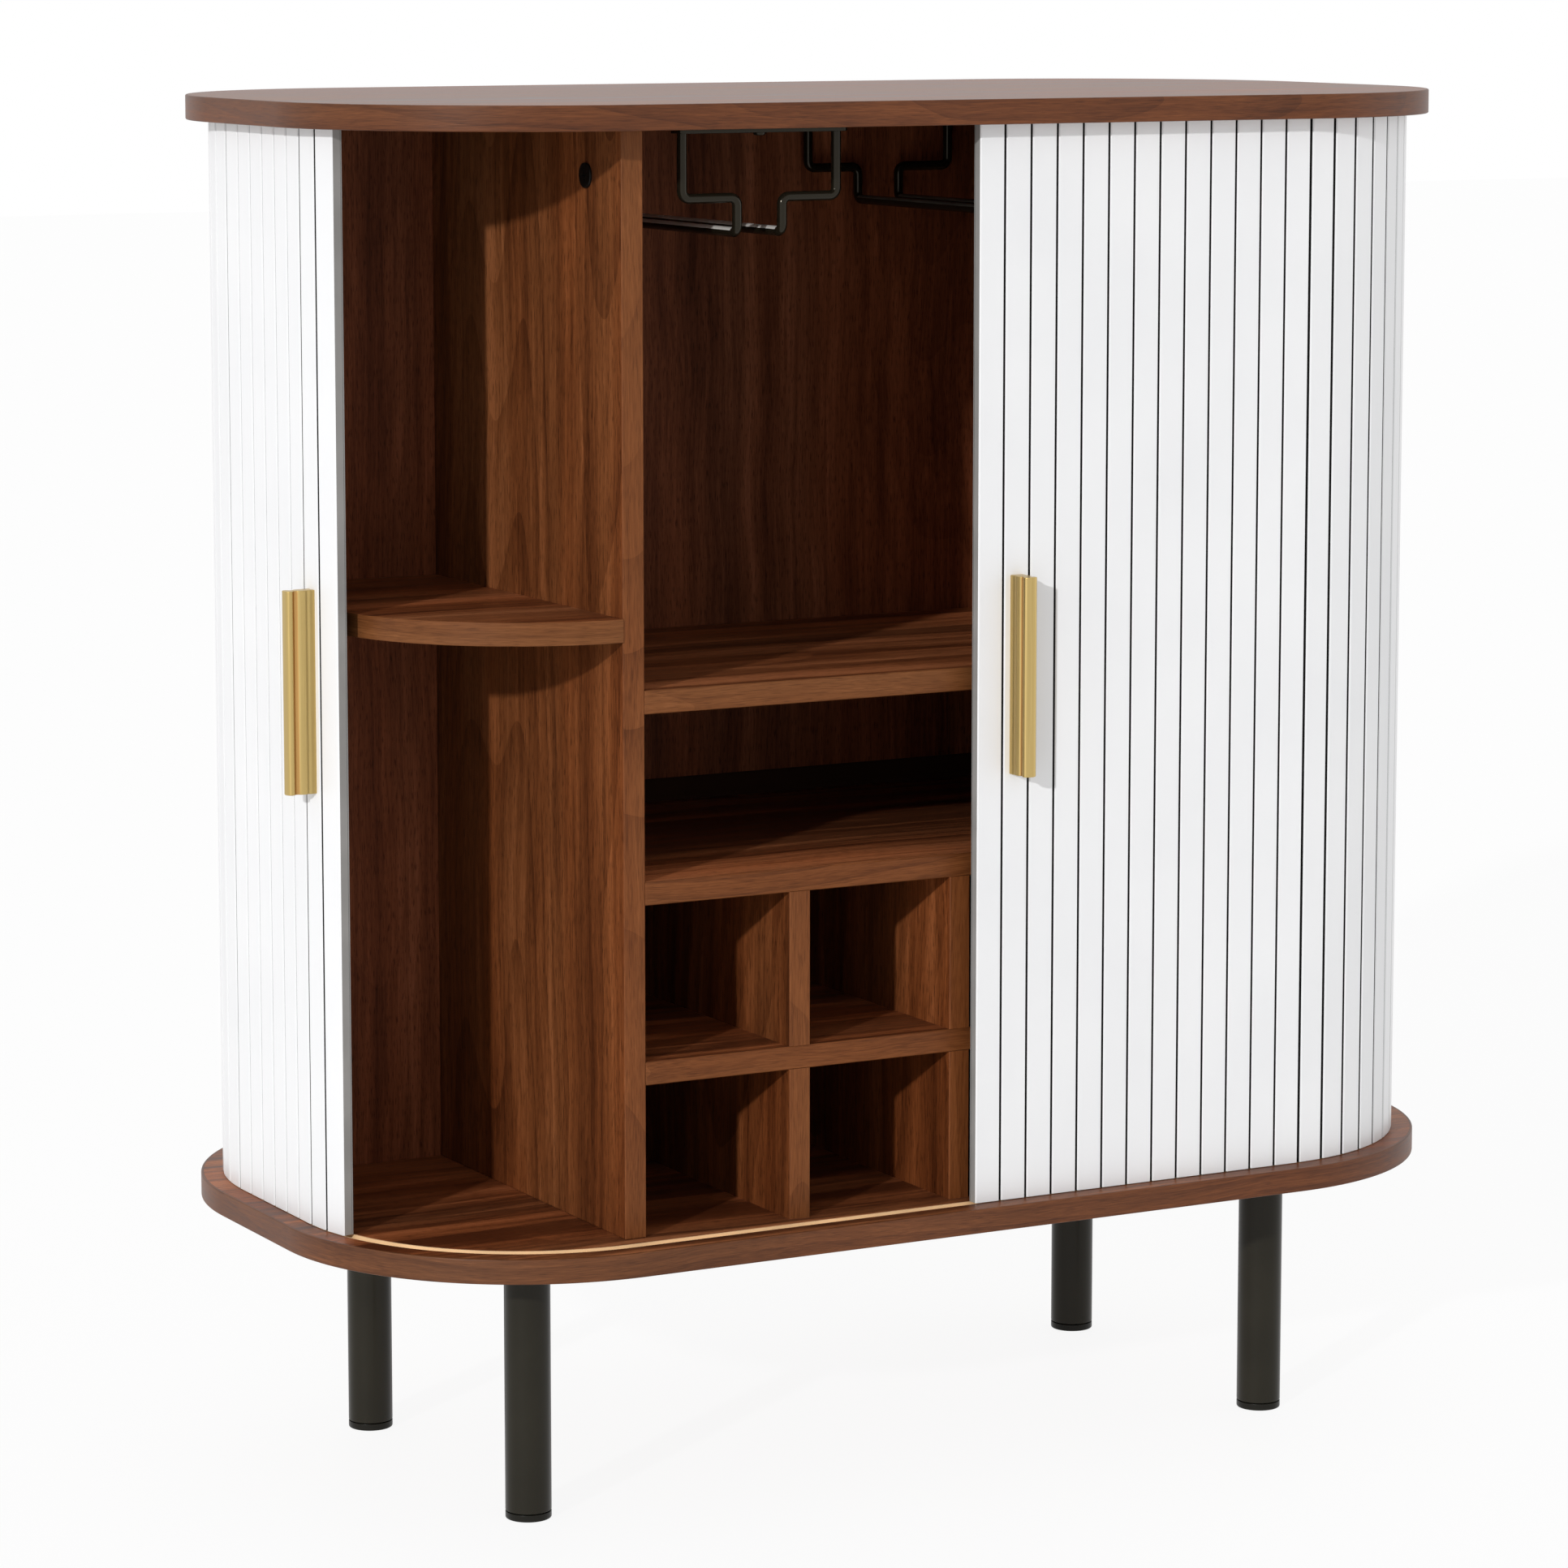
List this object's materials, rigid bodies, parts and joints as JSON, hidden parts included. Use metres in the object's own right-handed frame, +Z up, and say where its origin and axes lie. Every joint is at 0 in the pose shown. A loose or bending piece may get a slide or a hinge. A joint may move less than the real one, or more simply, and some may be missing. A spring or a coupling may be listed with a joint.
{
  "type": "bar cabinet",
  "caption": "Walnut bar cabinet with rounded ends on round legs: white slatted doors slide round the sides, over bottle places, shelves and stemware racks.",
  "frame": {"origin": "on the floor, under the middle of the cabinet's top", "axes": "+X to the right along the front, +Y from front to back, +Z up"},
  "size_m": [0.7838, 0.427, 0.849],
  "materials": {
    "walnut_board": "satin walnut melamine",
    "white_slat": "satin white lacquer",
    "brass_pull": "brushed gold",
    "slide_channel": "matt tan",
    "black_wire": "gloss black",
    "leg_tube": "semi-gloss black",
    "foot_plastic": "semi-gloss black",
    "connector_black": "satin black"
  },
  "bodies": {
    "cabinet": {"top_panel": "walnut_board", "base_panel": "walnut_board", "base_channel": "slide_channel", "left_divider": "walnut_board", "right_divider": "walnut_board", "inner_back_panel": "walnut_board", "upper_shelf": "walnut_board", "lower_shelf": "walnut_board", "bottle_shelf": "walnut_board", "upper_bottle_dividers": "walnut_board", "lower_bottle_dividers": "walnut_board", "left_corner_shelf": "walnut_board", "right_corner_shelf": "walnut_board", "left_glass_rack": "black_wire", "right_glass_rack": "black_wire", "rack_strips": "black_wire", "front_left_leg": "leg_tube", "front_right_leg": "leg_tube", "rear_left_leg": "leg_tube", "rear_right_leg": "leg_tube", "foot_caps": "foot_plastic", "connector_caps": "connector_black"},
    "right_door_1": {"right_door_segment_01": "white_slat", "right_handle": "brass_pull"},
    "right_door_2": {"right_door_segment_02": "white_slat", "right_door_segment_03": "white_slat", "right_door_segment_04": "white_slat"},
    "right_door_3": {"right_door_segment_05": "white_slat"},
    "right_door_4": {"right_door_segment_06": "white_slat"},
    "right_door_5": {"right_door_segment_07": "white_slat"},
    "right_door_6": {"right_door_segment_08": "white_slat", "right_door_segment_09": "white_slat", "right_door_segment_10": "white_slat"},
    "right_door_7": {"right_door_segment_11": "white_slat"},
    "right_door_8": {"right_door_segment_12": "white_slat"},
    "right_door_9": {"right_door_segment_13": "white_slat"},
    "right_door_10": {"right_door_segment_14": "white_slat", "right_door_segment_15": "white_slat"},
    "right_door_11": {"right_door_segment_16": "white_slat"},
    "left_door_1": {"left_door_segment_01": "white_slat", "left_handle": "brass_pull"},
    "left_door_2": {"left_door_segment_02": "white_slat", "left_door_segment_03": "white_slat", "left_door_segment_04": "white_slat"},
    "left_door_3": {"left_door_segment_05": "white_slat"},
    "left_door_4": {"left_door_segment_06": "white_slat"},
    "left_door_5": {"left_door_segment_07": "white_slat"},
    "left_door_6": {"left_door_segment_08": "white_slat", "left_door_segment_09": "white_slat", "left_door_segment_10": "white_slat"},
    "left_door_7": {"left_door_segment_11": "white_slat"},
    "left_door_8": {"left_door_segment_12": "white_slat"},
    "left_door_9": {"left_door_segment_13": "white_slat"},
    "left_door_10": {"left_door_segment_14": "white_slat", "left_door_segment_15": "white_slat"},
    "left_door_11": {"left_door_segment_16": "white_slat"}
  },
  "joints": [
    {"name": "right_door_travel", "type": "hinge", "parent": "cabinet", "child": "right_door_6", "pos_m": [0.20452, 0, 0.507], "axis": [0, 0, 1], "range_deg": [0, 126.3]},
    {"name": "right_door_fold_7", "type": "hinge", "parent": "right_door_6", "child": "right_door_7", "pos_m": [0.34443, -0.13334, 0.507], "axis": [0, 0, 1], "range_deg": [-8.24, 0]},
    {"name": "right_door_fold_8", "type": "hinge", "parent": "right_door_7", "child": "right_door_8", "pos_m": [0.36149, -0.10134, 0.507], "axis": [0, 0, 1], "range_deg": [-14.96, 0]},
    {"name": "right_door_fold_9", "type": "hinge", "parent": "right_door_8", "child": "right_door_9", "pos_m": [0.36972, -0.06602, 0.507], "axis": [0, 0, 1], "range_deg": [-12.07, 0]},
    {"name": "right_door_fold_10", "type": "hinge", "parent": "right_door_9", "child": "right_door_10", "pos_m": [0.3704, -0.0297, 0.507], "axis": [0, 0, 1], "range_deg": [-1.08, 0]},
    {"name": "right_door_fold_11", "type": "hinge", "parent": "right_door_10", "child": "right_door_11", "pos_m": [0.3704, 0.04298, 0.507], "axis": [0, 0, 1], "range_deg": [-4.14, 0]},
    {"name": "right_door_fold_5", "type": "hinge", "parent": "right_door_6", "child": "right_door_5", "pos_m": [0.25428, -0.18974, 0.507], "axis": [0, 0, 1], "range_deg": [-0.9681, 0]},
    {"name": "right_door_fold_4", "type": "hinge", "parent": "right_door_5", "child": "right_door_4", "pos_m": [0.21804, -0.1917, 0.507], "axis": [0, 0, 1], "range_deg": [-11.89, 0]},
    {"name": "right_door_fold_3", "type": "hinge", "parent": "right_door_4", "child": "right_door_3", "pos_m": [0.1817, -0.1917, 0.507], "axis": [0, 0, 1], "range_deg": [-14.99, 0]},
    {"name": "right_door_fold_2", "type": "hinge", "parent": "right_door_3", "child": "right_door_2", "pos_m": [0.14536, -0.1917, 0.507], "axis": [0, 0, 1], "range_deg": [-8.49, 0]},
    {"name": "right_door_fold_1", "type": "hinge", "parent": "right_door_2", "child": "right_door_1", "pos_m": [0.03634, -0.1917, 0.507], "axis": [0, 0, 1], "range_deg": [-8.32, 0]},
    {"name": "left_door_travel", "type": "hinge", "parent": "cabinet", "child": "left_door_6", "pos_m": [-0.20452, 0, 0.507], "axis": [0, 0, 1], "range_deg": [0, 126.3]},
    {"name": "left_door_fold_7", "type": "hinge", "parent": "left_door_6", "child": "left_door_7", "pos_m": [-0.22943, 0.1917, 0.507], "axis": [0, 0, 1], "range_deg": [-8.15, 0]},
    {"name": "left_door_fold_8", "type": "hinge", "parent": "left_door_7", "child": "left_door_8", "pos_m": [-0.19309, 0.1917, 0.507], "axis": [0, 0, 1], "range_deg": [-14.99, 0]},
    {"name": "left_door_fold_9", "type": "hinge", "parent": "left_door_8", "child": "left_door_9", "pos_m": [-0.15675, 0.1917, 0.507], "axis": [0, 0, 1], "range_deg": [-12.11, 0]},
    {"name": "left_door_fold_10", "type": "hinge", "parent": "left_door_9", "child": "left_door_10", "pos_m": [-0.12041, 0.1917, 0.507], "axis": [0, 0, 1], "range_deg": [-1.1, 0]},
    {"name": "left_door_fold_11", "type": "hinge", "parent": "left_door_10", "child": "left_door_11", "pos_m": [-0.04773, 0.1917, 0.507], "axis": [0, 0, 1], "range_deg": [-4.12, 0]},
    {"name": "left_door_fold_5", "type": "hinge", "parent": "left_door_6", "child": "left_door_5", "pos_m": [-0.32818, 0.15224, 0.507], "axis": [0, 0, 1], "range_deg": [-1, 0]},
    {"name": "left_door_fold_4", "type": "hinge", "parent": "left_door_5", "child": "left_door_4", "pos_m": [-0.35067, 0.1238, 0.507], "axis": [0, 0, 1], "range_deg": [-11.93, 0]},
    {"name": "left_door_fold_3", "type": "hinge", "parent": "left_door_4", "child": "left_door_3", "pos_m": [-0.36506, 0.09051, 0.507], "axis": [0, 0, 1], "range_deg": [-14.96, 0]},
    {"name": "left_door_fold_2", "type": "hinge", "parent": "left_door_3", "child": "left_door_2", "pos_m": [-0.37038, 0.05464, 0.507], "axis": [0, 0, 1], "range_deg": [-8.45, 0]},
    {"name": "left_door_fold_1", "type": "hinge", "parent": "left_door_2", "child": "left_door_1", "pos_m": [-0.37039, -0.05437, 0.507], "axis": [0, 0, 1], "range_deg": [-8.34, 0]}
  ],
  "couplings": [
    {"joint": "right_door_fold_7", "follows": "right_door_travel", "ratio": -0.065156},
    {"joint": "right_door_fold_8", "follows": "right_door_travel", "ratio": -0.11835},
    {"joint": "right_door_fold_9", "follows": "right_door_travel", "ratio": -0.095451},
    {"joint": "right_door_fold_10", "follows": "right_door_travel", "ratio": -0.008456},
    {"joint": "right_door_fold_11", "follows": "right_door_travel", "ratio": -0.032717},
    {"joint": "right_door_fold_5", "follows": "right_door_travel", "ratio": -0.0075862},
    {"joint": "right_door_fold_4", "follows": "right_door_travel", "ratio": -0.09404},
    {"joint": "right_door_fold_3", "follows": "right_door_travel", "ratio": -0.1186},
    {"joint": "right_door_fold_2", "follows": "right_door_travel", "ratio": -0.067155},
    {"joint": "right_door_fold_1", "follows": "right_door_travel", "ratio": -0.065828},
    {"joint": "left_door_fold_7", "follows": "left_door_travel", "ratio": -0.064412},
    {"joint": "left_door_fold_8", "follows": "left_door_travel", "ratio": -0.1186},
    {"joint": "left_door_fold_9", "follows": "left_door_travel", "ratio": -0.095804},
    {"joint": "left_door_fold_10", "follows": "left_door_travel", "ratio": -0.0085916},
    {"joint": "left_door_fold_11", "follows": "left_door_travel", "ratio": -0.032553},
    {"joint": "left_door_fold_5", "follows": "left_door_travel", "ratio": -0.007867},
    {"joint": "left_door_fold_4", "follows": "left_door_travel", "ratio": -0.094391},
    {"joint": "left_door_fold_3", "follows": "left_door_travel", "ratio": -0.11835},
    {"joint": "left_door_fold_2", "follows": "left_door_travel", "ratio": -0.066785},
    {"joint": "left_door_fold_1", "follows": "left_door_travel", "ratio": -0.065945}
  ]
}
